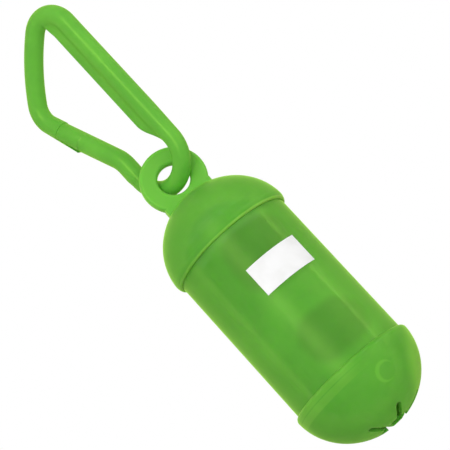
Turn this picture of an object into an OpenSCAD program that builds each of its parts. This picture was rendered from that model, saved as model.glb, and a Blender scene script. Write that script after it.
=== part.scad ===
// Dog poop bag dispenser: a capsule for one roll of bags, hung from a moulded snap hook.
// Millimetres. The origin is the seat inside the hook's bow, where a lead's ring bears, and +Z is up.
// The capsule's axis is the Z axis, and the hook lies flat in the XZ plane.

/* [Snap hook] */
// Diameter of the hook's round bar along the spine, the bow and the upper side
wire_d = 5.8; // [5:0.1:6.2]
// Diameter of the slimmer bar in the lower bend, which hangs in the eye and flexes
bend_d = 5.4; // [4.6:0.1:5.5]
// Diameter of the arm between the lower bend and the gate
arm_d = 5.9; // [5:0.1:6.2]
// Diameter of the gate
gate_d = 6; // [4.8:0.1:6.3]
// Height from the seat in the bow down to the middle of the lower bend
hook_reach = 61.1; // [56:0.1:70]
// Radius of the lower bend, to the middle of the bar
bend_r = 9.6; // [9.2:0.05:10.5]
// Offset of the lower bend from the capsule's axis
bend_x = 0.45; // [-0.5:0.05:1]
// Radius of the bow at the top of the spine, to the middle of the bar
bow_r = 7.7; // [7.2:0.1:9]
// Radius of the left corner, to the middle of the bar
corner_r = 6.8; // [5.5:0.1:8]
// Slope of the upper side's middle, from level, in degrees
top_slope = 36.5; // [32:0.5:40]
// Radius of the upper side, which bulges a little
side_r = 65; // [50:1:200]
// Length of the upper side between its two bends
side_l = 22.2; // [20:0.1:24]
// Lean of the nose, from upright, in degrees
nose_lean = 21; // [18:0.5:22.5]
// Length from the left corner's bend to the point where the gate's lean begins
nose_l = 8.4; // [7:0.1:9.5]
// Lean of the gate, from upright, in degrees
gate_lean = 24; // [23:0.5:26]
// Width of the flat web inside the spine, from the bar's middle to its round edge
web_w = 6.4; // [4.4:0.05:6.6]
// Thickness of the web
web_t = 2.4; // [1.6:0.1:3.6]
// Height over which the web fades into the bar at the bottom
web_taper = 10.5; // [8:0.5:13]

/* [Gate] */
// Distance along the nose from the left corner's bend to the butt joint
joint_at = 4.8; // [3:0.1:6]
// Length of the nose lip that laps over the gate's tip
lip_l = 8.3; // [6:0.1:10]
// Thickness of the lip at the joint
lip_root_t = 1.5; // [1.2:0.1:2]
// Thickness of the lip at its tip
lip_tip_t = 0.7; // [0.6:0.1:1]
// Flare of the nose out to the lip's tip, on the radius
lip_flare = 0.4; // [0.2:0.05:0.5]
// Gap between the gate's tip and the nose
nose_gap = 0.25; // [0.2:0.05:0.5]
// Depth of the flexing zone below the elbow where the gate bends
flex_drop = 3; // [2:0.1:4]
// Radius of the round seam at the flexing zone
seam_r = 3.6; // [3.4:0.1:4.2]
// Gap in the round seam
seam_gap = 0.08; // [0.05:0.01:0.1]

/* [Eye] */
// Height from the capsule's upper rim to the centre of the eye
eye_h = 25.1; // [24:0.1:27]
// Inner radius of the eye
eye_hole_r = 4.75; // [4.7:0.05:5.2]
// Outer radius of the eye
eye_r = 10; // [9:0.05:11]
// Thickness of the eye
eye_t = 3.2; // [2.4:0.1:3.4]
// Rounding of the eye's edges
eye_edge = 1; // [0.6:0.1:1.1]
// Width of the neck where the eye stands on the dome
neck_w = 16.2; // [14:0.1:17.6]
// Turn of the eye away from the hook's plane, in degrees
eye_turn = 49; // [47:1:70]
// Height of the eye's centre above the middle of the bar that hangs in it
eye_lift = 0.95; // [0.8:0.05:1.1]

/* [Capsule] */
// Largest diameter of the two caps
cap_d = 40; // [38:0.5:44]
// Height of the upper dome above its rim
top_dome_h = 18.4; // [16:0.1:20]
// Height of the slotted dome below its rim
end_dome_h = 18.7; // [17:0.1:21]
// Distance between the rims of the two caps
rim_span = 50.4; // [44:0.1:60]
// Wall of the caps
cap_wall = 1.3; // [1:0.05:1.6]
// Length of the upper cap's lip over the tube
top_lip = 1.1; // [0.8:0.1:2.6]
// Length of the slotted cap's lip over the tube
end_lip = 0.3; // [0.2:0.1:2.6]
// Thickness of a lip's edge
lip_edge = 0.3; // [0.2:0.05:0.6]
// Height beyond the rim at which the cap's outside begins to round toward its lip
rim_round = 0.9; // [0.2:0.1:1.5]
// Depth that the tube goes into a cap beyond its rim
socket = 3; // [2:0.1:4]
// Step from the tube's surface out to the caps' largest radius
rim_step = 1.25; // [0.95:0.05:1.35]
// Wall of the tube
tube_wall = 1.2; // [0.9:0.05:1.5]
// Clearance between the tube and the caps, on the radius
push_fit = 0.05; // [0.03:0.01:0.08]
// Radius of the round mouth that the bags come out of
mouth_r = 4.9; // [4:0.1:5.8]
// Width of the six slots that run out from the mouth
slot_w = 2; // [1.2:0.1:2.6]
// Length of each slot, from the axis
slot_arm = 10.8; // [9:0.1:12]
// Direction of the first slot, in degrees
slot_turn = 30; // [0:1:60]

/* [Bag roll] */
// Diameter of a full roll
roll_d = 28; // [22:0.5:30]
// Length of the roll
roll_l = 60; // [50:0.5:61]
// Outer diameter of the paper core
core_d = 12; // [9:0.5:15]
// Wall of the core
core_wall = 1; // [0.6:0.1:1.4]
// Recess of the core's ends inside the roll
core_recess = 1.5; // [0:0.1:3]
// Gap between the roll and the dome that it stands in
roll_seat = 0.35; // [0.25:0.05:0.6]

/* [Sticker] */
// Width of the blank sticker round the tube, measured on the curve
label_w = 17.6; // [12:0.1:26]
// Height of the sticker
label_h = 9.3; // [7:0.1:14]
// Thickness of the sticker
label_t = 0.12; // [0.08:0.01:0.2]
// Distance from the upper rim down to the sticker's middle
label_drop = 17.8; // [12:0.1:24]
// Direction that the sticker faces, in degrees
label_turn = -32.5; // [-60:0.5:20]
// Tilt of the sticker, in degrees
label_tilt = 0; // [-8:0.5:8]

/* [Hidden] */
$fn = 96;
green = [0.36, 0.66, 0.26, 0.85];
eps = 0.01;
dome_steps = 28;

// Snap hook: the middle line of its bar
wire_r = wire_d / 2;
spine_x = bend_x + bend_r;
arm_x = bend_x - bend_r;
bend_z = bend_r - hook_reach;
bow_x = spine_x - bow_r;
bow_z = -sqrt(pow(bow_r - wire_r, 2) - pow(bow_x, 2));
side_turn = side_l / side_r * 180 / PI;
side_from = 90 + top_slope - side_turn / 2;
corner_from = side_from + side_turn;
corner_turn = 180 + nose_lean - corner_from;
bow_c = [bow_x, bow_z];
side_c = bow_c - (side_r - bow_r) * ray(side_from);
corner_c = side_c + (side_r - corner_r) * ray(corner_from);
nose_at = corner_c + corner_r * ray(180 + nose_lean);
nose_dir = [sin(nose_lean), -cos(nose_lean)];
nose_out = [-cos(nose_lean), -sin(nose_lean)];
gate_dir = [sin(gate_lean), -cos(gate_lean)];
kink = on_nose(nose_l, 0);
elbow_z = kink[1] - (arm_x - kink[0]) / tan(gate_lean);
elbow_r = 10;
arm_taper = 2;
pivot_z = elbow_z - flex_drop;
lip_end = joint_at + lip_l;

// Capsule: heights of its rims
eye_z = eye_lift - hook_reach;
rim_z = eye_z - eye_h;
end_z = rim_z - rim_span;
cap_r = cap_d / 2;
tube_r = cap_r - rim_step;
socket_r = tube_r + push_fit;
tube_top = rim_z + socket;
tube_bottom = end_z - socket;

// Bag roll: it stands in the slotted dome
roll_r = roll_d / 2;
core_r = core_d / 2;
end_in_r = cap_r - cap_wall;
end_in_h = end_dome_h - cap_wall;
roll_bottom = end_z - end_in_h * sqrt(1 - pow(roll_r / end_in_r, 2)) + roll_seat;

// A direction of length one, from its angle
function ray(a) = [cos(a), sin(a)];

// A point on the nose: distance along it from the corner's bend, and distance out from its middle line
function on_nose(along, out) = nose_at + nose_dir * along + nose_out * out;

// A quarter of an ellipse as points, from the rim to the pole
function quarter(a, b, from = 0) = [for (i = [0:dome_steps])
    let (t = from + (90 - from) * i / dome_steps) [i == dome_steps ? 0 : a * cos(t), b * sin(t)]];

// A straight stretch of round bar between two points of the hook's plane, with a taper if asked
module bar(p, q, d, d_end = 0) {
    run = q - p;
    translate([p[0], 0, p[1]])
        rotate([0, atan2(run[0], run[1]), 0])
            cylinder(d1 = d, d2 = d_end > 0 ? d_end : d, h = norm(run));
}

// A bend of round bar in the hook's plane, about a centre, from one angle through another.
// A ball at each end, a hair larger than the bar, joins it to the next stretch.
module bend(c, r, from, turn, d, balls = true) {
    translate([c[0], 0, c[1]])
        rotate([90, -from, 0]) {
            rotate_extrude(angle = turn)
                translate([r, 0])
                    circle(d = d, $fn = 64);
            for (end = balls ? [0, turn] : [])
                rotate([0, 0, end])
                    translate([r, 0, 0])
                        sphere(d = d + 2 * eps);
        }
}

// A flat outline in the hook's plane, given a thickness
module plate(points, t) {
    rotate([90, 0, 0])
        linear_extrude(t, center = true)
            polygon(points);
}

// The nose's outline, which laps outside the gate's tip, grown by a gap
function nose_outline(gap) = let (
        r = wire_r,
        root = r + lip_flare * joint_at / lip_end - lip_root_t - gap,
        tip = r + lip_flare - lip_tip_t - gap)
    [on_nose(0, -2 * r), on_nose(joint_at + gap, -2 * r), on_nose(joint_at + gap, root),
        on_nose(lip_end + gap, tip), on_nose(lip_end + gap, 2 * r), on_nose(0, 2 * r)];

// The web inside the spine: straight up to the bow, and fading into the bar below
module web() {
    edge_x = spine_x - web_w + web_t / 2;
    low = bend_z - 0.4;
    top_turn = acos((edge_x - bow_x) / bow_r);
    fade = [for (i = [0:8]) let (f = i / 8)
        [spine_x - wire_r - (web_w - wire_r) * (1 - cos(180 * f)) / 2, low + web_taper * f]];
    arch = [for (i = [0:6]) let (a = top_turn * (1 - i / 6))
        [bow_x + bow_r * cos(a), bow_z + bow_r * sin(a)]];
    plate(concat([[spine_x, low]], fade, [[edge_x, low + web_taper]], arch), web_t);
    bar([edge_x, low + web_taper], [edge_x, bow_z + (bow_r - wire_r / 2) * sin(top_turn)], web_t);
}

// The spine and its web, the bow, the upper side and the lower bend: one moulding
module hook_frame() {
    color(green) {
        bar([spine_x, bend_z], [spine_x, bend_z + web_taper], bend_d, wire_d);
        bar([spine_x, bend_z + web_taper], [spine_x, bow_z], wire_d);
        web();
        bend(bow_c, bow_r, 0, side_from, wire_d);
        bend(side_c, side_r, side_from, side_turn, wire_d, false);
        bend(corner_c, corner_r, corner_from, corner_turn, wire_d);
        intersection() {
            bar(nose_at, on_nose(lip_end, 0), wire_d, wire_d + 2 * lip_flare);
            plate(nose_outline(0), 2 * wire_d);
        }
        difference() {
            union() {
                bend([bend_x, bend_z], bend_r, 180, 180, bend_d);
                bar([arm_x, bend_z], [arm_x, bend_z + arm_taper], bend_d, arm_d);
                bar([arm_x, bend_z + arm_taper], [arm_x, pivot_z], arm_d);
            }
            seam(seam_r + seam_gap);
        }
    }
}

// The cylinder about the line on which the gate flexes
module seam(r) {
    translate([arm_x, 0, pivot_z])
        rotate([90, 0, 0])
            cylinder(r = r, h = 2 * wire_d, center = true);
}

// The springy gate, from the flexing zone to its cut-back tip
module hook_gate() {
    fillet = elbow_r * tan(gate_lean / 2);
    color(green) {
        intersection() {
            bar([arm_x, pivot_z - seam_r], [arm_x, elbow_z - fillet], arm_d);
            union() {
                seam(seam_r);
                translate([arm_x, 0, pivot_z + wire_d - 1])
                    cube([arm_d + 0.4, 2 * wire_d, 2 * wire_d], center = true);
            }
        }
        bend([arm_x - elbow_r, elbow_z - fillet], elbow_r, 0, gate_lean, arm_d);
        difference() {
            bar([arm_x, elbow_z] - fillet * gate_dir, kink - (nose_l - joint_at + 1) * gate_dir,
                arm_d, gate_d);
            plate(nose_outline(nose_gap), 2 * wire_d);
        }
    }
}

// The ring that the hook passes through, and the neck that carries it on the dome
module eye() {
    e = eye_edge;
    translate([0, 0, eye_z])
        rotate([0, 0, eye_turn])
            rotate([90, 0, 0])
                rotate_extrude()
                    eye_section(eye_hole_r, eye_r, eye_t, e);
    rotate([0, 0, eye_turn])
        difference() {
            plate(neck_outline(), eye_t);
            translate([0, 0, eye_z])
                rotate([90, 0, 0])
                    cylinder(r = (eye_hole_r + eye_r) / 2, h = 2 * eye_t, center = true);
        }
}

// The eye's section: a bar with rounded edges between two radii
module eye_section(r_in, r_out, t, e) {
    difference() {
        translate([r_in, -t / 2])
            square([r_out - r_in, t]);
        for (side = [-1, 1]) {
            round_off([r_in, side * t / 2], [1, -side], e);
            round_off([r_out, side * t / 2], [-1, -side], e);
        }
    }
}

// What a rounded edge takes off a square corner
module round_off(p, into, r) {
    translate(p)
        mirror([into[0] < 0 ? 1 : 0, 0])
            mirror([0, into[1] < 0 ? 1 : 0])
                difference() {
                    translate([-eps, -eps])
                        square(r + eps);
                    translate([r, r])
                        circle(r = r, $fn = 48);
                }
}

// The neck's outline: it leaves the ring's sides below the hole and flares a little into the dome
function neck_outline() = let (
        half = neck_w / 2,
        top = eye_z - sqrt(pow(eye_r, 2) - pow(half, 2)),
        flare = 0.4,
        low = rim_z + top_dome_h * sqrt(1 - pow((half + flare) / cap_r, 2)) - cap_wall / 2,
        foot = low + flare + cap_wall / 2,
        side = [for (i = [0:6]) let (a = 90 * i / 6)
            [half + flare * (1 - cos(a)), foot - flare * sin(a)]])
    concat([[half, top]], side, [[half + flare, low]],
        [[-half - flare, low]], [for (i = [6:-1:0]) [-side[i][0], side[i][1]]], [[-half, top]]);

// A cap's section, with its rim at zero and its pole up: dome, lip, socket and shoulder
module cap_section(h, lip) {
    in_r = cap_r - cap_wall;
    in_h = h - cap_wall;
    shoulder = asin(socket / in_h);
    edge_x = socket_r + lip_edge;
    round_from = asin(rim_round / h);
    reach = cap_r * cos(round_from) - edge_x;
    polygon(concat(
        quarter(cap_r, h, round_from),
        [for (i = [dome_steps:-1:0]) quarter(in_r, in_h, shoulder)[i]],
        [[socket_r, socket], [socket_r, -lip], [edge_x, -lip]],
        [for (i = [1:5]) let (a = 90 - 15 * i)
            [edge_x + reach * cos(a), rim_round - (rim_round + lip) * sin(a)]]));
}

// The upper cap: a dome with the eye moulded on it
module top_cap() {
    color(green) {
        translate([0, 0, rim_z])
            rotate_extrude()
                cap_section(top_dome_h, top_lip);
        difference() {
            eye();
            translate([0, 0, rim_z])
                rotate_extrude()
                    polygon(concat([[0, -top_lip]], [[cap_r - cap_wall / 2, -top_lip]],
                        quarter(cap_r - cap_wall / 2, top_dome_h - cap_wall / 2)));
        }
    }
}

// The tube between the caps
module body_tube() {
    color(green)
        translate([0, 0, tube_bottom])
            difference() {
                cylinder(r = tube_r, h = tube_top - tube_bottom);
                translate([0, 0, -eps])
                    cylinder(r = tube_r - tube_wall, h = tube_top - tube_bottom + 2 * eps);
            }
}

// The cap that pulls off, with a mouth and six slots that leave six petals
module slotted_cap() {
    color(green)
        difference() {
            translate([0, 0, end_z])
                mirror([0, 0, 1])
                    rotate_extrude()
                        cap_section(end_dome_h, end_lip);
            translate([0, 0, end_z - end_dome_h - eps])
                linear_extrude(end_dome_h - socket - 2 * cap_wall)
                    rotate(slot_turn)
                        mouth();
        }
}

// The mouth's outline: a round hole and six slots with round ends
module mouth() {
    reach = slot_arm - slot_w / 2;
    circle(r = mouth_r);
    for (turn = [0, 60, 120]) {
        rotate(turn)
            square([2 * reach, slot_w], center = true);
        for (side = [-1, 1])
            rotate(turn)
                translate([side * reach, 0])
                    circle(d = slot_w, $fn = 32);
    }
}

// The bags, wound in one roll
module bag_roll() {
    edge = 0.8;
    color([0.42, 0.70, 0.33])
        translate([0, 0, roll_bottom])
            rotate_extrude()
                difference() {
                    translate([core_r + push_fit, 0])
                        square([roll_r - core_r - push_fit, roll_l]);
                    round_off([roll_r, 0], [-1, 1], edge);
                    round_off([roll_r, roll_l], [-1, -1], edge);
                }
}

// The paper tube that the bags are wound on
module roll_core() {
    color([0.78, 0.72, 0.60])
        translate([0, 0, roll_bottom + core_recess])
            difference() {
                cylinder(r = core_r, h = roll_l - 2 * core_recess);
                translate([0, 0, -eps])
                    cylinder(r = core_r - core_wall, h = roll_l - 2 * core_recess + 2 * eps);
            }
}

// A blank sticker on the tube
module label() {
    arc = label_w / tube_r * 180 / PI;
    color("white")
        rotate([0, 0, label_turn])
            intersection() {
                translate([0, 0, rim_z - label_drop - label_h])
                    difference() {
                        cylinder(r = tube_r + label_t, h = 2 * label_h);
                        translate([0, 0, -eps])
                            cylinder(r = tube_r, h = 2 * label_h + 2 * eps);
                    }
                translate([0, 0, rim_z - label_drop])
                    rotate([label_tilt, 0, 0])
                        rotate([90, 0, 90])
                            linear_extrude(2 * tube_r)
                                square([2 * tube_r * sin(arc / 2), label_h], center = true);
            }
}

hook_frame();
hook_gate();
top_cap();
body_tube();
slotted_cap();
bag_roll();
roll_core();
label();
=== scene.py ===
import math
import bpy
import bmesh
from mathutils import Matrix, Vector, noise


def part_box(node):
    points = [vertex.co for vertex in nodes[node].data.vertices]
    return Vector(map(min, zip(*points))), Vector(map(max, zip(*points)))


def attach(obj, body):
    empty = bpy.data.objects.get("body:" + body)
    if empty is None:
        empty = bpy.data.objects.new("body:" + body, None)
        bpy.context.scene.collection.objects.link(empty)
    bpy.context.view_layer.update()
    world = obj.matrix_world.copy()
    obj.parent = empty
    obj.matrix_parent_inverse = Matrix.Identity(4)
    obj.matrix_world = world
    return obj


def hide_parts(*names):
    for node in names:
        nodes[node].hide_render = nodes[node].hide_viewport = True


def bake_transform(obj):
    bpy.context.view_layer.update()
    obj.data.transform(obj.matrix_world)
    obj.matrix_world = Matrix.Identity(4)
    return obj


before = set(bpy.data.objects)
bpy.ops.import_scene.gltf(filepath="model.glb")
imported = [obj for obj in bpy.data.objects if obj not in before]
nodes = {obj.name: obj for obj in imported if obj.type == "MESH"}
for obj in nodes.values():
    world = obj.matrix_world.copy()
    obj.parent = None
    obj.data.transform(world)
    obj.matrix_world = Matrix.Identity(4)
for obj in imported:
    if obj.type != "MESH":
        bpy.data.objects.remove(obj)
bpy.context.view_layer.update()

MM = 0.001
# The photograph's view, in metres: the side it faces, how steeply it looks up, its roll, how far
# away it is, the height it looks at, its shift to the side, and its lens on a 36 mm frame
FACE = math.radians(37)
RISE = math.radians(14.5)
ROLL = math.radians(42.524)
VIEW_FAR = 0.480
VIEW_Z = -0.08023
VIEW_ASIDE = 0.002131
LENS = 135.12


# Sizes in millimetres, those of the solids they dress. The web is 0.25 wider, to make up for its
# softer edge, and the closed joint's two gaps are narrower.
WIRE_R = 2.9
BEND_BAR_R = 2.7
ARM_R = 2.95
GATE_R = 3.0
BEND_R = 9.6
BEND_X = 0.45
BOW_R = 7.7
CORNER_R = 6.8
TOP_SLOPE = math.radians(36.5)
SIDE_R = 65.0
SIDE_L = 22.2
NOSE_LEAN = math.radians(21)
NOSE_L = 8.4
GATE_LEAN = math.radians(24)
REACH = 61.1
WEB_W = 6.65
WEB_T = 2.4
WEB_TAPER = 10.5
JOINT_AT = 4.8
LIP_L = 8.3
LIP_ROOT = 1.5
LIP_TIP = 0.7
LIP_FLARE = 0.4
NOSE_GAP = 0.08
LIP_GAP = 0.12
ELBOW_R = 10.0
ARM_TAPER = 2.0


def ray(angle):
    """A direction in the hook's plane."""
    return Vector((math.cos(angle), math.sin(angle)))


# The middle line of the hook's bar
SPINE_X = BEND_X + BEND_R
ARM_X = BEND_X - BEND_R
BEND_Z = BEND_R - REACH
BOW_X = SPINE_X - BOW_R
BOW_Z = -math.sqrt((BOW_R - WIRE_R) ** 2 - BOW_X ** 2)
SIDE_FROM = math.pi / 2 + TOP_SLOPE - SIDE_L / SIDE_R / 2
CORNER_FROM = SIDE_FROM + SIDE_L / SIDE_R
BOW_C = Vector((BOW_X, BOW_Z))
SIDE_C = BOW_C - ray(SIDE_FROM) * (SIDE_R - BOW_R)
CORNER_C = SIDE_C + ray(CORNER_FROM) * (SIDE_R - CORNER_R)
NOSE_AT = CORNER_C + ray(math.pi + NOSE_LEAN) * CORNER_R
NOSE_DIR = Vector((math.sin(NOSE_LEAN), -math.cos(NOSE_LEAN)))
NOSE_OUT = Vector((-math.cos(NOSE_LEAN), -math.sin(NOSE_LEAN)))
GATE_DIR = Vector((math.sin(GATE_LEAN), -math.cos(GATE_LEAN)))
KINK = NOSE_AT + NOSE_DIR * NOSE_L
ELBOW_Z = KINK.y - (ARM_X - KINK.x) / math.tan(GATE_LEAN)
LIP_END = JOINT_AT + LIP_L

EYE_Z = 0.95 - REACH
RIM_Z = EYE_Z - 25.1
END_Z = RIM_Z - 50.4
CAP_R = 20.0
END_DOME_H = 18.7
ROLL_R = 14.0
CORE_R = 6.05

# How the web is faired into the bar: the part of the section that it can reach, the web's width
# over which the fillet grows, the fillet's softness and depth, and where the depth is full
WEB_SIDE = 1.4
FILLET_GROWS = 2.5
FILLET_SOFT = 1.35
FILLET_DEEP = 0.24
FILLET_FULL = 1.5


def camera():
    """Looks up at the hanging part, as the photograph does."""
    side = Vector((math.cos(FACE), math.sin(FACE), 0))
    front = Vector((math.sin(FACE), -math.cos(FACE), 0))
    upright = Vector((0, 0, 1))
    back = front * math.cos(RISE) - upright * math.sin(RISE)
    top = upright * math.cos(RISE) + front * math.sin(RISE)
    right = side * math.cos(ROLL) - top * math.sin(ROLL)
    up = side * math.sin(ROLL) + top * math.cos(ROLL)
    data = bpy.data.cameras.new("camera")
    data.lens, data.sensor_width = LENS, 36
    data.clip_start, data.clip_end = 0.01, 20
    eye = bpy.data.objects.new("camera", data)
    bpy.context.scene.collection.objects.link(eye)
    place = Matrix((right, up, back)).transposed().to_4x4()
    place.translation = upright * VIEW_Z + side * VIEW_ASIDE + back * VIEW_FAR
    eye.matrix_world = place
    bpy.context.scene.camera = eye


camera()


# Shader maths as plain expressions
class Wire:
    def __init__(self, tree, socket):
        self.tree, self.socket = tree, socket

    def _math(self, operation, *values):
        node = self.tree.nodes.new("ShaderNodeMath")
        node.operation = operation
        for i, value in enumerate(values):
            if isinstance(value, Wire):
                self.tree.links.new(value.socket, node.inputs[i])
            else:
                node.inputs[i].default_value = value
        return Wire(self.tree, node.outputs[0])

    def __add__(self, other):
        return self._math("ADD", self, other)

    __radd__ = __add__

    def __sub__(self, other):
        return self._math("SUBTRACT", self, other)

    def __rsub__(self, other):
        return self._math("SUBTRACT", other, self)

    def __mul__(self, other):
        return self._math("MULTIPLY", self, other)

    __rmul__ = __mul__

    def __truediv__(self, other):
        return self._math("DIVIDE", self, other)

    def __pow__(self, other):
        return self._math("POWER", self, other)

    def __abs__(self):
        return self._math("ABSOLUTE", self)

    def clamp(self, low, high):
        return self._math("MINIMUM", self._math("MAXIMUM", self, low), high)

    def smooth(self, low, high):
        """0 below low, 1 above high, with a soft step between."""
        f = ((self - low) / (high - low)).clamp(0.0, 1.0)
        return f * f * (3.0 - 2.0 * f)


class Finish:
    """One material under construction."""

    def __init__(self, name):
        self.material = bpy.data.materials.new(name)
        self.material.use_nodes = True
        self.tree = self.material.node_tree
        self.tree.nodes.clear()
        self.out = self.tree.nodes.new("ShaderNodeOutputMaterial")

    def node(self, kind, settings=None, output=0, **sockets):
        """Adds a node: its settings first, then the values or links of its sockets."""
        made = self.tree.nodes.new(kind)
        for key, value in (settings or {}).items():
            setattr(made, key, value)
        for key, value in sockets.items():
            name = key.replace("_", " ")
            socket = next(s for s in made.inputs if s.name == name and s.enabled)
            if isinstance(value, Wire):
                self.tree.links.new(value.socket, socket)
            else:
                socket.default_value = value
        self.last = made
        return Wire(self.tree, made.outputs[output])

    def place(self):
        return self.node("ShaderNodeTexCoord", output=3)

    def xyz(self):
        self.node("ShaderNodeSeparateXYZ", Vector=self.place())
        return [Wire(self.tree, out) for out in self.last.outputs]

    def noise(self, scale, detail, roughness):
        return self.node("ShaderNodeTexNoise", Vector=self.place(), Scale=scale, Detail=detail,
                         Roughness=roughness)

    def mix(self, factor, a, b):
        made = self.tree.nodes.new("ShaderNodeMix")
        made.data_type = "RGBA"
        for socket, value in ((made.inputs[0], factor), (made.inputs[6], a), (made.inputs[7], b)):
            if isinstance(value, Wire):
                self.tree.links.new(value.socket, socket)
            else:
                socket.default_value = value
        return Wire(self.tree, made.outputs[2])

    def blend(self, share, a, b):
        """Two shaders side by side: a share of the second."""
        made = self.tree.nodes.new("ShaderNodeMixShader")
        if isinstance(share, Wire):
            self.tree.links.new(share.socket, made.inputs[0])
        else:
            made.inputs[0].default_value = share
        self.tree.links.new(a.socket, made.inputs[1])
        self.tree.links.new(b.socket, made.inputs[2])
        return Wire(self.tree, made.outputs[0])

    def bump(self, height, strength, distance):
        return self.node("ShaderNodeBump", Strength=strength, Distance=distance, Height=height)

    def close(self, shader):
        self.tree.links.new(shader.socket, self.out.inputs["Surface"])
        return self.material


def rgb(r, g, b):
    """A colour as the eye reads it, 0 to 255, in the shader's linear values."""
    def lin(c):
        c /= 255
        return c / 12.92 if c <= 0.04045 else ((c + 0.055) / 1.055) ** 2.4
    return (lin(r), lin(g), lin(b), 1.0)


def soft_edges(f, radius, height, strength, distance):
    """Rounds sharp edges in the shading, with a fine relief on top."""
    rounded = f.node("ShaderNodeBevel", {"samples": 6}, Radius=radius)
    return f.node("ShaderNodeBump", Strength=strength, Distance=distance, Height=height,
                  Normal=rounded)


def dark_patch_mask(f, x, y, z, soft):
    """Two patches with round corners, 1 inside, 0 outside: painted shade of the roll on the tube's
    wall, a darker tone on the film.
    """
    corner, centre, half_width = 7.5, 4.6, 10.6
    across = x * math.cos(FACE) + y * math.sin(FACE)
    side = (abs(across - centre * MM) - (half_width - corner) * MM).clamp(0.0, 1.0)
    shares = []
    for low, high in ((RIM_Z - 22.6, RIM_Z - 1.0), (RIM_Z - 49.0, RIM_Z - 32.2)):
        middle, half = (low + high) / 2, (high - low) / 2
        up = (abs(z - middle * MM) - (half - corner) * MM).clamp(0.0, 1.0)
        off = (up * up + side * side) ** 0.5 - corner * MM
        shares.append(1.0 - off.smooth(-soft * MM, 0.5 * MM))
    return (shares[0] + shares[1]).clamp(0.0, 1.0)


def with_gloss(f, body, normal, tint, roughness, ior):
    """A satin skin over the body, tinted by the plastic that the light runs through."""
    skin = f.node("ShaderNodeBsdfGlossy", Color=tint, Roughness=roughness, Normal=normal)
    share = f.node("ShaderNodeFresnel", IOR=ior, Normal=normal)
    return f.blend(share, body, skin)


def moulding_green(name):
    """The hook's solid plastic: milky inside, satin outside, with faint flow marks."""
    f = Finish(name)
    flow = f.noise(55.0, 4.0, 0.5)
    cloud = f.noise(150.0, 3.0, 0.6)
    shade = (flow * 0.7 + cloud * 0.3).smooth(0.38, 0.62)
    colour = f.mix(shade, rgb(103, 188, 67), rgb(115, 200, 72))
    normal = f.bump(f.noise(260.0, 2.0, 0.5), 0.10, 0.0002)
    body = f.node("ShaderNodeBsdfPrincipled", Base_Color=colour, Roughness=0.5,
                  Specular_IOR_Level=0.0, Transmission_Weight=0.1, Subsurface_Weight=0.5,
                  Subsurface_Radius=(1.0, 1.6, 0.5), Subsurface_Scale=0.0012, Normal=normal)
    return f.close(with_gloss(f, body, normal, rgb(200, 245, 90), 0.27, 1.5))


def shell_green(name, solid, painted_light_spots=(), highlight_bands=(), top=None, painted_roll_shadow=0.0):
    """The capsule's thin walls: frosted, and clear enough to show the roll as a soft shape.

    The spots are painted light and shade, places made lighter or darker: centre, radius, soft
    edge, share, colour. The bands are painted highlights between two heights, by a share that
    fades from left to right. Above the top height the plastic is thick. Solid is how dense the
    wall is, and packed is the share of painted shade where the roll shows through the wall.
    """
    f = Finish(name)
    flow = f.noise(38.0, 4.0, 0.5)
    cloud = f.noise(120.0, 3.0, 0.6)
    shade = (flow * 0.65 + cloud * 0.35).smooth(0.36, 0.64)
    colour = f.mix(shade, rgb(101, 186, 66), rgb(111, 198, 71))
    x, y, z = f.xyz()
    share = solid
    # Painted shade: the roll seen through the wall darkens it in two patches
    if painted_roll_shadow:
        colour = f.mix(dark_patch_mask(f, x, y, z, 2.8) * painted_roll_shadow, colour, rgb(80, 140, 54))
    # Painted light and shade in round spots, made lighter or darker
    for centre, radius, soft, how_much, tone in painted_light_spots:
        away = f.node("ShaderNodeVectorMath", {"operation": "DISTANCE"}, 1, Vector=f.place())
        f.last.inputs[1].default_value = [c * MM for c in centre]
        inside = 1.0 - away.smooth((radius - soft) * MM, radius * MM)
        colour = f.mix(inside * how_much, colour, tone)
    if top is not None:
        thick = z.smooth(top * MM, (top + 2.5) * MM)
        colour = f.mix(thick, colour, rgb(121, 201, 77))
        share = thick * (0.96 - solid) + solid
    # Painted highlights along the rim: lighter bands between two heights, fading across the part
    across = x * math.cos(FACE) + y * math.sin(FACE)
    for low, high, how_much, left, right in highlight_bands:
        above = z.smooth((low - 0.25) * MM, low * MM)
        below = 1.0 - z.smooth(high * MM, (high + 0.25) * MM)
        painted_highlight = above * below * across.smooth(left * MM, right * MM)
        colour = f.mix(painted_highlight * how_much, colour, rgb(156, 232, 90))
    ripple = f.noise(210.0, 2.0, 0.5)
    wave = f.bump(ripple, 0.12, 0.0002)
    normal = soft_edges(f, 0.0004, ripple, 0.12, 0.0002)
    body = f.node("ShaderNodeBsdfPrincipled", Base_Color=colour, Alpha=share, Roughness=0.5,
                  Specular_IOR_Level=0.0, Subsurface_Weight=0.8, Subsurface_Radius=(1.0, 1.6, 0.5),
                  Subsurface_Scale=0.0016, Normal=normal)
    satin = 0.37 + 0.1 * (cloud - 0.5)
    return f.close(with_gloss(f, body, wave, rgb(200, 250, 120), satin, 1.45))


def film_green(name):
    """Thin bag film, wound in folds: darker in two patches, with tight wrinkles round the roll."""
    f = Finish(name)
    x, y, z = f.xyz()
    wrinkle = f.noise(160.0, 5.0, 0.6)
    fold = f.noise(55.0, 3.0, 0.5)
    plain = f.mix(wrinkle.smooth(0.35, 0.65), rgb(132, 204, 88), rgb(150, 222, 102))
    colour = f.mix(dark_patch_mask(f, x, y, z, 2.8), plain, rgb(116, 186, 77))
    normal = f.bump(wrinkle + fold, 0.3, 0.0004)
    shader = f.node("ShaderNodeBsdfPrincipled", Base_Color=colour, Roughness=0.5, Normal=normal)
    return f.close(shader)


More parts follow.
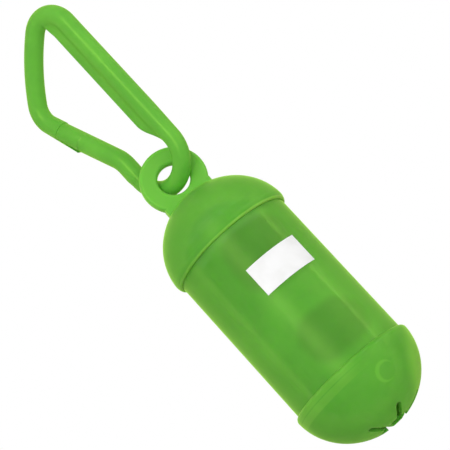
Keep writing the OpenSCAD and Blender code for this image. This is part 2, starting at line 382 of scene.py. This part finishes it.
def core_paper(name):
    """Grey-brown board with short fibres."""
    f = Finish(name)
    fibre = f.noise(900.0, 4.0, 0.6)
    colour = f.mix(fibre.smooth(0.3, 0.7), rgb(186, 166, 130), rgb(214, 198, 166))
    normal = f.bump(fibre, 0.3, 0.0002)
    shader = f.node("ShaderNodeBsdfPrincipled", Base_Color=colour, Roughness=0.85, Normal=normal)
    return f.close(shader)


def sticker_white(name):
    """White paper, a little cloudy, with nothing printed on it."""
    f = Finish(name)
    fibre = f.noise(1500.0, 3.0, 0.6)
    cloud = f.noise(200.0, 2.0, 0.5)
    colour = f.mix(cloud.smooth(0.3, 0.7), rgb(243, 243, 242), rgb(251, 251, 251))
    normal = f.bump(fibre, 0.15, 0.0001)
    shader = f.node("ShaderNodeBsdfPrincipled", Base_Color=colour, Roughness=0.5, Normal=normal)
    return f.close(shader)


def on_cap(around, below):
    """A point on the slotted cap: its direction in degrees, and its depth below the rim."""
    out = ray(math.radians(around)) * CAP_R * math.sqrt(1 - (below / END_DOME_H) ** 2)
    return (out.x, out.y, END_Z - below)


# The tube, with painted shade of the roll behind its wall
TUBE = shell_green("green_tube", 0.62, painted_roll_shadow=0.46)
# A painted highlight along the upper cap's rim, fading out towards the left
RIM_HIGHLIGHT = (RIM_Z - 1.2, RIM_Z - 0.6, 0.9, -40, 12)
UPPER = shell_green("green_upper_cap", 0.68, highlight_bands=[RIM_HIGHLIGHT], top=RIM_Z + 15.5)
# On the slotted cap, painted light and shade: a painted pale patch of light, the moulded C mark as
# a painted highlight (one spot with a darker one in it), and a painted glow on the far side, then
# two faint painted highlight bands along the rim
CAP_PAINTED_LIGHT = [(on_cap(-29, 6.5), 8.5, 5.0, 0.35, rgb(128, 214, 78)),
             (on_cap(-29, 8.0), 3.3, 0.6, 0.6, rgb(144, 226, 86)),
             (on_cap(-27, 8.3), 2.8, 0.6, 0.75, rgb(106, 190, 70)),
             (on_cap(34, 10.0), 12.5, 6.0, 0.85, rgb(150, 236, 82))]
CAP_RIM_HIGHLIGHTS = [(END_Z - 1.6, END_Z + 0.4, 0.3, 8, -6), (END_Z - 4.0, END_Z - 2.2, 0.3, 8, -6)]
LOWER = shell_green("green_slotted_cap", 0.66, CAP_PAINTED_LIGHT, CAP_RIM_HIGHLIGHTS)
MOULDING = moulding_green("green_moulding")
FILM = film_green("bag_film")
PAPER = core_paper("core_paper")
STICKER = sticker_white("sticker_paper")


# Mesh helpers
def piece_of(name, bm, material, smooth=True):
    """An object from the faces made so far."""
    mesh = bpy.data.meshes.new(name)
    bm.to_mesh(mesh)
    bm.free()
    mesh.materials.append(material)
    for face in mesh.polygons:
        face.use_smooth = smooth
    piece = bpy.data.objects.new(name, mesh)
    bpy.context.scene.collection.objects.link(piece)
    return piece


def loft(name, rings, material, fan_start=False, fan_end=False, join_ends=False):
    """A skin through rings of points. Its ends are closed by a fan, or joined to each other."""
    bm = bmesh.new()
    made = [[bm.verts.new(Vector(p) * MM) for p in points] for points in rings]
    pairs = list(zip(made, made[1:]))
    if join_ends:
        pairs.append((made[-1], made[0]))
    for a, b in pairs:
        for i in range(len(a)):
            j = (i + 1) % len(a)
            bm.faces.new((a[i], a[j], b[j], b[i]))
    for shut, rim in ((fan_start, made[0]), (fan_end, made[-1])):
        if shut:
            middle = bm.verts.new(sum((v.co for v in rim), Vector()) / len(rim))
            for i in range(len(rim)):
                bm.faces.new((rim[i], rim[(i + 1) % len(rim)], middle))
    bmesh.ops.recalc_face_normals(bm, faces=bm.faces)
    return piece_of(name, bm, material)


# The hook's bar: a round section with a flat web on its inner side. The angles run from the inner
# side, where they lie closest.
AROUND = [math.copysign(abs(k / 36) ** 1.4 * math.pi, k) for k in range(-36, 36)]


def section(r, web):
    """Points (inward, sideways) of the bar's section, with the web faired into the bar."""
    half = WEB_T / 2
    fillet = min(max((web - r) / FILLET_GROWS, 0), 1)
    points = []
    for a in AROUND:
        reach = r
        if web > r and abs(a) < WEB_SIDE:
            tip = web - half
            if abs(a) > 1e-6 and half / math.tan(abs(a)) <= tip:
                flat = half / math.sin(abs(a))
            else:
                flat = tip * math.cos(a) + math.sqrt(max(half ** 2 - (tip * math.sin(a)) ** 2, 0))
            reach = (r + flat + math.hypot(r - flat, FILLET_SOFT * fillet)) / 2
            reach -= FILLET_DEEP * fillet * min(abs(flat - r) / FILLET_FULL, 1)
        points.append((reach * math.cos(a), reach * math.sin(a)))
    return points


def cut_section(r, low=None, high=None):
    """A round section cut flat across. The cut's corners keep their places in the ring."""
    if low is None and high is None:
        return section(r, 0)
    corner = math.acos(min(max((low if high is None else high) / r, -0.98), 0.98))
    points = []
    for a in AROUND:
        if high is None:
            split = math.radians(120)
            turn = abs(a) * corner / split
            share = (math.pi - abs(a)) / (math.pi - split)
        else:
            split = math.radians(60)
            turn = math.pi - (math.pi - abs(a)) * (math.pi - corner) / (math.pi - split)
            share = abs(a) / split
        if share < 1:
            turn = corner
        across = r * math.sin(turn) * min(share, 1)
        points.append((r * math.cos(turn), math.copysign(across, a)))
    return points


def ring(centre, tangent, points):
    """Places a section: inward is to the right of the way along the bar."""
    x, z = centre
    tx, tz = tangent
    return [(x + tz * p, q, z - tx * p) for p, q in points]


def lip_inside(along):
    """Distance out from the nose's middle line to the lip's inner face."""
    root = WIRE_R + LIP_FLARE * JOINT_AT / LIP_END - LIP_ROOT
    tip = WIRE_R + LIP_FLARE - LIP_TIP
    return root + (tip - root) * (along - JOINT_AT) / LIP_L


def steps(a, b, size):
    """Values from a to b in even steps, none shorter than size where the way allows it."""
    n = max(int(abs(b - a) / size), 1)
    return [a + (b - a) * i / n for i in range(n + 1)]


def hook_bar():
    """The hook from its lip, round the corner, bow, spine and lower bend, to the gate's arm."""
    rings = []

    def on_nose(along, shrink=1.0, **cut):
        """A section of the nose, at a distance from the corner's end."""
        r = WIRE_R + LIP_FLARE * max(along, 0) / LIP_END
        rings.append(ring(NOSE_AT + NOSE_DIR * along, -NOSE_DIR, cut_section(r * shrink, **cut)))

    def on_arc(c, r, a, bar_r, web=0):
        rings.append(ring(c + ray(a) * r, (math.sin(a), -math.cos(a)), section(bar_r, web)))

    # The lip, from its rounded tip to the butt joint, then the nose
    for back, share in ((0.0, 0.5), (0.12, 0.8), (0.32, 0.95)):
        along = LIP_END - back
        face = -lip_inside(along)
        mid = (face - WIRE_R - LIP_FLARE) / 2
        points = [(mid + (p - mid) * share, q * (0.9 + 0.1 * share))
                  for p, q in cut_section(WIRE_R + LIP_FLARE, high=face)]
        rings.append(ring(NOSE_AT + NOSE_DIR * along, -NOSE_DIR, points))
    for along in steps(LIP_END - 0.6, JOINT_AT, 0.8):
        on_nose(along, high=-lip_inside(along))
    on_nose(JOINT_AT, shrink=0.985)
    on_nose(JOINT_AT - 0.04, shrink=0.995)
    for along in steps(JOINT_AT - 0.15, 0, 0.6):
        on_nose(along)
    # Corner, upper side, bow
    for a in steps(math.pi + NOSE_LEAN, CORNER_FROM, math.radians(3))[1:]:
        on_arc(CORNER_C, CORNER_R, a, WIRE_R)
    for a in steps(CORNER_FROM, SIDE_FROM, math.radians(0.9))[1:]:
        on_arc(SIDE_C, SIDE_R, a, WIRE_R)
    edge = SPINE_X - WEB_W
    for a in steps(SIDE_FROM, 0, math.radians(2.5))[1:]:
        web = BOW_R - (edge - BOW_X) / math.cos(a) if math.cos(a) > 0.1 else 0
        on_arc(BOW_C, BOW_R, a, WIRE_R, web)
    # Spine, with the web fading out above the lower bend
    low = BEND_Z - 0.4
    for z in steps(BOW_Z, BEND_Z, 0.7)[1:]:
        f = min(max((z - low) / WEB_TAPER, 0), 1)
        web = WIRE_R + (WEB_W - WIRE_R) * (1 - math.cos(math.pi * f)) / 2
        r = BEND_BAR_R + (WIRE_R - BEND_BAR_R) * min(max((z - BEND_Z) / WEB_TAPER, 0), 1)
        rings.append(ring((SPINE_X, z), (0, -1), section(r, web)))
    for a in steps(0, -math.pi, math.radians(4))[1:]:
        on_arc(Vector((BEND_X, BEND_Z)), BEND_R, a, BEND_BAR_R)
    return loft("hook_bar", rings, MOULDING, fan_start=True)


def gate_arm():
    """The arm and the gate, to the tip that is cut back under the lip."""
    rings = []
    fillet = ELBOW_R * math.tan(GATE_LEAN / 2)
    for z in steps(BEND_Z, ELBOW_Z - fillet, 0.4):
        r = BEND_BAR_R + (ARM_R - BEND_BAR_R) * min((z - BEND_Z) / ARM_TAPER, 1)
        rings.append(ring((ARM_X, z), (0, 1), section(r, 0)))
    elbow_c = Vector((ARM_X - ELBOW_R, ELBOW_Z - fillet))
    for a in steps(0, GATE_LEAN, math.radians(2))[1:]:
        at = elbow_c + ray(a) * ELBOW_R
        rings.append(ring(at, (-math.sin(a), math.cos(a)), section(ARM_R, 0)))
    # Up the gate: distances are counted down from the point where its lean begins
    length = (KINK - Vector((ARM_X, ELBOW_Z))).length - fillet
    skew = GATE_LEAN - NOSE_LEAN
    slope = lip_inside(1) - lip_inside(0)

    def on_gate(down, tip=False, shrink=1.0, **cut):
        """A section of the gate. At its tip the sections lie square to the nose."""
        r = ARM_R + (GATE_R - ARM_R) * (length - down) / (length + NOSE_L - JOINT_AT)
        lean = NOSE_DIR if tip else GATE_DIR
        rings.append(ring(KINK + GATE_DIR * down, -lean, cut_section(r * shrink, **cut)))

    def cut_back(down):
        """How far in the gate's face is cut, to lie along the lip."""
        from_nose = KINK + GATE_DIR * down - NOSE_AT
        out, along = from_nose.dot(NOSE_OUT), from_nose.dot(NOSE_DIR)
        room = out - lip_inside(along) + LIP_GAP
        return room / (math.cos(skew) - slope * math.sin(skew))

    shoulder = LIP_END + LIP_GAP - NOSE_L
    end = JOINT_AT + NOSE_GAP - NOSE_L
    for down in steps(length, shoulder, 0.8)[1:]:
        on_gate(down)
    on_gate(shoulder - 0.02, low=cut_back(shoulder) - 0.2)
    for down in steps(shoulder - 0.12, end + 0.45, 0.7):
        on_gate(down, low=cut_back(down))
    on_gate(end + 0.2, True, low=cut_back(end + 0.2))
    on_gate(end + 0.06, True, low=cut_back(end), shrink=0.985)
    on_gate(end, True, low=cut_back(end) * 0.96, shrink=0.955)
    return loft("gate_arm", rings, MOULDING, fan_end=True)


hook = hook_bar()
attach(hook, "hook")
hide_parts("hook_frame")
gate = gate_arm()
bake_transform(gate)
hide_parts("hook_gate")


# The roll: film wound on its core, with soft lumps where the bags are folded
def bag_roll():
    low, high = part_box("bag_roll")
    bottom, top = low[2] / MM, high[2] / MM
    width = ROLL_R - 1.2 - CORE_R
    profile = [(CORE_R, bottom + 1.0)]
    profile += [(CORE_R + width * f, bottom + 0.35 + 0.15 * math.sin(f * 40))
                for f in steps(0.06, 1, 0.06)]
    profile += [(ROLL_R - 0.5, bottom + 0.75), (ROLL_R - 0.1, bottom + 1.6)]
    profile += [(ROLL_R, z) for z in steps(bottom + 2.6, top - 2.6, 1.0)]
    profile += [(ROLL_R - 0.1, top - 1.6), (ROLL_R - 0.5, top - 0.75)]
    profile += [(CORE_R + width * f, top - 0.35 + 0.15 * math.sin(f * 40))
                for f in steps(1, 0.06, 0.06)]
    profile += [(CORE_R, top - 1.0)]
    lines, turns = [], 96
    for k in range(turns):
        a = 2 * math.pi * k / turns
        line = []
        for r, z in profile:
            share = max((r - CORE_R) / (ROLL_R - CORE_R), 0)
            swell = noise.noise(Vector((math.cos(a) * 1.3, math.sin(a) * 1.3, z * 0.055)))
            crease = noise.noise(Vector((math.cos(a) * 5, math.sin(a) * 5, z * 0.30)))
            out = min(r + share ** 3 * (-0.45 + 0.8 * swell + 0.35 * crease), ROLL_R)
            line.append((out * math.cos(a), out * math.sin(a), z))
        lines.append(line)
    return loft("wound_bags", lines, FILM, join_ends=True)


roll = bag_roll()
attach(roll, "roll")
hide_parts("bag_roll")


def dress(name, material):
    """Gives a solid that keeps its own mesh its material."""
    mesh = nodes[name].data
    mesh.materials.clear()
    mesh.materials.append(material)


dress("top_cap", UPPER)
dress("body_tube", TUBE)
dress("slotted_cap", LOWER)
dress("roll_core", PAPER)
dress("label", STICKER)


# Stage: a pale floor well below the hanging part, white behind it, soft light
def stage_floor():
    f = Finish("pale_floor")
    grain = f.noise(30.0, 3.0, 0.6)
    colour = f.mix(grain.smooth(0.3, 0.7), rgb(244, 244, 243), rgb(248, 248, 248))
    matt = f.node("ShaderNodeBsdfPrincipled", Base_Color=colour, Roughness=0.9)
    white = f.node("ShaderNodeEmission", Color=colour, Strength=1.0)
    seen = f.node("ShaderNodeLightPath")
    material = f.close(f.blend(seen * 0.9, matt, white))
    bm = bmesh.new()
    half, z = 4.0, -0.30
    corners = ((-half, -half), (half, -half), (half, half), (-half, half))
    bm.faces.new([bm.verts.new((x, y, z)) for x, y in corners])
    floor = piece_of("floor", bm, material, smooth=False)


def world_light(level):
    """Even light of this strength, seen as white by the camera and in reflections."""
    world = bpy.data.worlds.new("studio")
    bpy.context.scene.world = world
    world.use_nodes = True
    tree = world.node_tree
    tree.nodes.clear()
    path = tree.nodes.new("ShaderNodeLightPath")
    seen = Wire(tree, path.outputs["Is Camera Ray"])
    gloss = Wire(tree, path.outputs["Is Glossy Ray"])
    through = Wire(tree, path.outputs["Is Transmission Ray"])
    white = (seen + gloss + through).clamp(0.0, 1.0)
    back = tree.nodes.new("ShaderNodeBackground")
    back.inputs["Color"].default_value = (1, 1, 1, 1)
    strength = white + (1.0 - white) * level
    tree.links.new(strength.socket, back.inputs["Strength"])
    out = tree.nodes.new("ShaderNodeOutputWorld")
    tree.links.new(back.outputs[0], out.inputs["Surface"])


def soft_lamp(name, towards, distance, size, power):
    """A rectangular lamp that looks at the part's middle, from this direction and distance."""
    data = bpy.data.lights.new(name, "AREA")
    data.shape, data.size, data.size_y = "RECTANGLE", size[0], size[1]
    data.energy = power
    lamp = bpy.data.objects.new(name, data)
    aim = Vector((0, 0, -0.08))
    lamp.location = aim + towards.normalized() * distance
    lamp.rotation_mode = "QUATERNION"
    lamp.rotation_quaternion = towards.normalized().to_track_quat("Z", "Y")
    bpy.context.scene.collection.objects.link(lamp)


stage_floor()
world_light(0.47)
SIDE = Vector((math.cos(FACE), math.sin(FACE), 0))
FRONT = Vector((math.sin(FACE), -math.cos(FACE), 0))
UPRIGHT = Vector((0, 0, 1))
# The strip stands about as far above the part's middle as the camera is below it, so that the
# upright bars and the tube show it as a streak
soft_lamp("strip", FRONT - SIDE * 0.13 + UPRIGHT * 0.22, 0.55, (0.17, 0.5), 1.3)
soft_lamp("fill", FRONT * 0.5 + SIDE * 0.9 - UPRIGHT * 0.1, 1.0, (0.7, 0.7), 2.3)

bpy.context.scene.view_settings.view_transform = "Standard"
